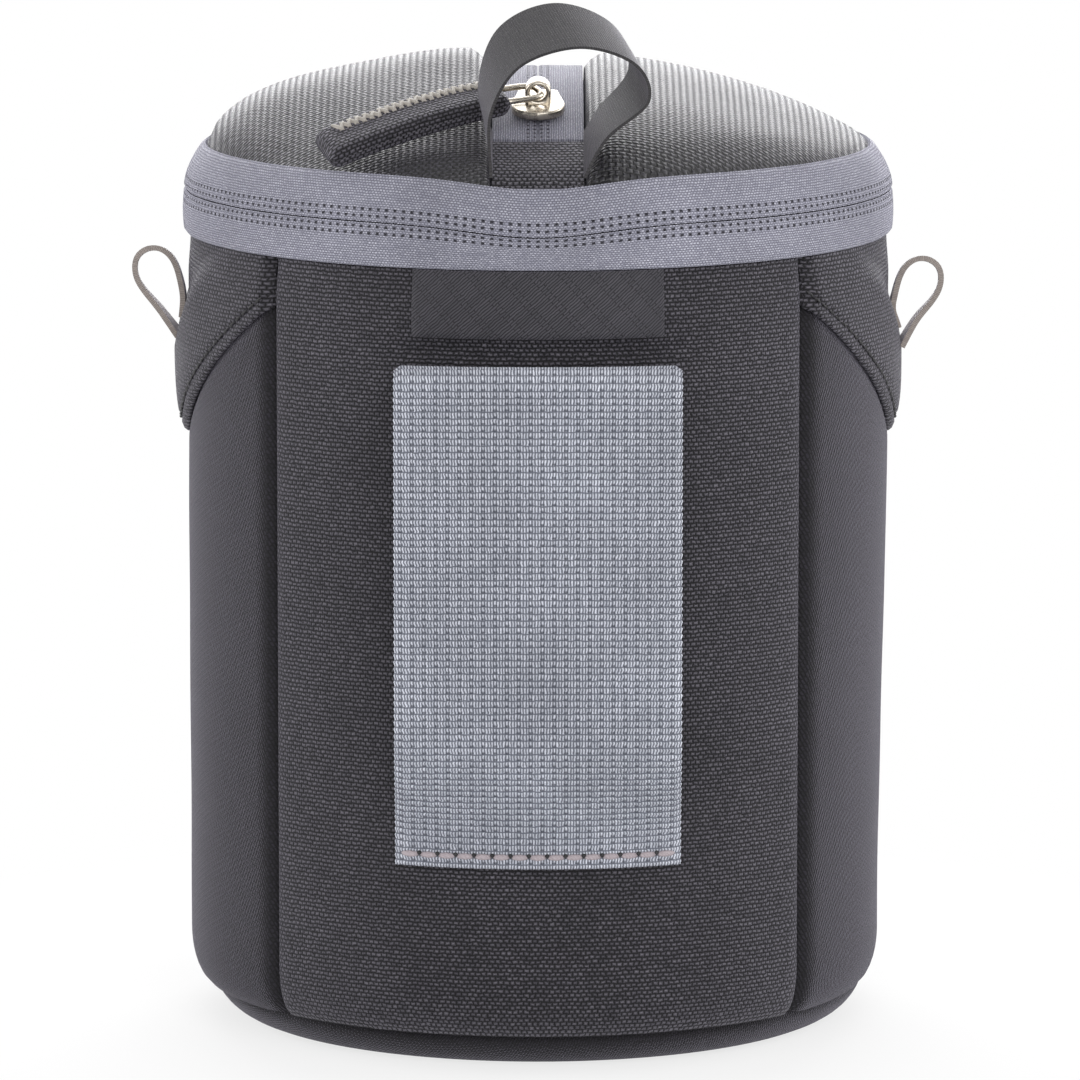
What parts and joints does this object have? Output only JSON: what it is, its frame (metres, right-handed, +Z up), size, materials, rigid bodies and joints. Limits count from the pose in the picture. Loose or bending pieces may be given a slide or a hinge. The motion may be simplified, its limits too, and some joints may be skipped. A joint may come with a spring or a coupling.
{
  "type": "lens pouch",
  "caption": "Padded round lens pouch with a zipped, hinged dome lid, a belt loop of wide webbing, ribbon side loops, a grab loop and a zipped pocket in the lid.",
  "frame": {"origin": "middle of the flat underside", "axes": "+Z up the tube, -Y out of the wall that carries the belt loop, +Y towards the lid's hinge, +X to the right when the belt loop is seen from the front"},
  "size_m": [0.1466, 0.1333, 0.1872],
  "materials": {
    "ballistic_nylon": "coarse woven nylon, matt",
    "twill": "fine smooth twill",
    "zip_tape": "fine woven polyester tape",
    "foam": "closed-cell foam sheet",
    "lining": "brushed lining cloth",
    "webbing": "woven polypropylene webbing",
    "ribbon": "woven nylon ribbon",
    "plated_steel": "nickel-plated zinc and steel wire",
    "zip_coil": "nylon coil"
  },
  "bodies": {
    "case": {"base_panel": "twill", "base_foam": "foam", "floor_lining": "lining", "front_panel": "ballistic_nylon", "rear_panel": "ballistic_nylon", "side_panel_left": "twill", "side_panel_right": "twill", "side_yoke_left": "ballistic_nylon", "side_yoke_right": "ballistic_nylon", "wall_foam": "foam", "wall_lining": "lining", "rim_binding": "zip_tape", "front_label": "twill", "belt_webbing": "webbing", "side_loop_left": "ribbon", "side_loop_right": "ribbon", "zip_tape_lower": "zip_tape", "zip_coil_lower": "zip_coil", "zip_stop_left": "plated_steel", "zip_stop_right": "plated_steel", "hinge_panel_lower": "ballistic_nylon"},
    "lid": {"hinge_panel_upper": "ballistic_nylon", "zip_tape_upper": "zip_tape", "zip_coil_upper": "zip_coil", "lid_panel_left": "ballistic_nylon", "lid_panel_right": "ballistic_nylon", "lid_front_patch": "ballistic_nylon", "lid_rear_patch": "ballistic_nylon", "lid_zip_tape_left": "zip_tape", "lid_zip_tape_right": "zip_tape", "lid_zip_coil_left": "zip_coil", "lid_zip_coil_right": "zip_coil", "lid_pocket_lining": "lining", "lid_foam": "foam", "lid_lining": "lining", "lid_binding": "zip_tape", "grab_loop": "ribbon"},
    "main_slider": {"main_slider": "plated_steel"},
    "main_pull": {"main_pull_link": "plated_steel", "main_pull_tab": "ballistic_nylon"},
    "lid_slider": {"lid_slider": "plated_steel"},
    "lid_pull": {"lid_pull_link": "plated_steel", "lid_pull_tab": "ballistic_nylon"}
  },
  "joints": [
    {"name": "lid_hinge", "type": "hinge", "parent": "case", "child": "lid", "pos_m": [0, 0.0636, 0.15], "axis": [-1, 0, 0], "range_deg": [0, 110]},
    {"name": "main_zip_travel", "type": "hinge", "parent": "case", "child": "main_slider", "pos_m": [0, 0, 0.15], "axis": [0, 0, 1], "range_deg": [-280, 0]},
    {"name": "main_pull_swing", "type": "hinge", "parent": "main_slider", "child": "main_pull", "pos_m": [0.04345, 0.05178, 0.15], "axis": [0, 0, 1], "range_deg": [0, 120]},
    {"name": "lid_zip_travel", "type": "hinge", "parent": "lid", "child": "lid_slider", "pos_m": [0, 0, 0.04463], "axis": [-1, 0, 0], "range_deg": [0, 32]},
    {"name": "lid_pull_lift", "type": "hinge", "parent": "lid_slider", "child": "lid_pull", "pos_m": [0, -0.03353, 0.17051], "axis": [-0.3746, 0.8959, 0.2386], "range_deg": [0, 120]}
  ]
}
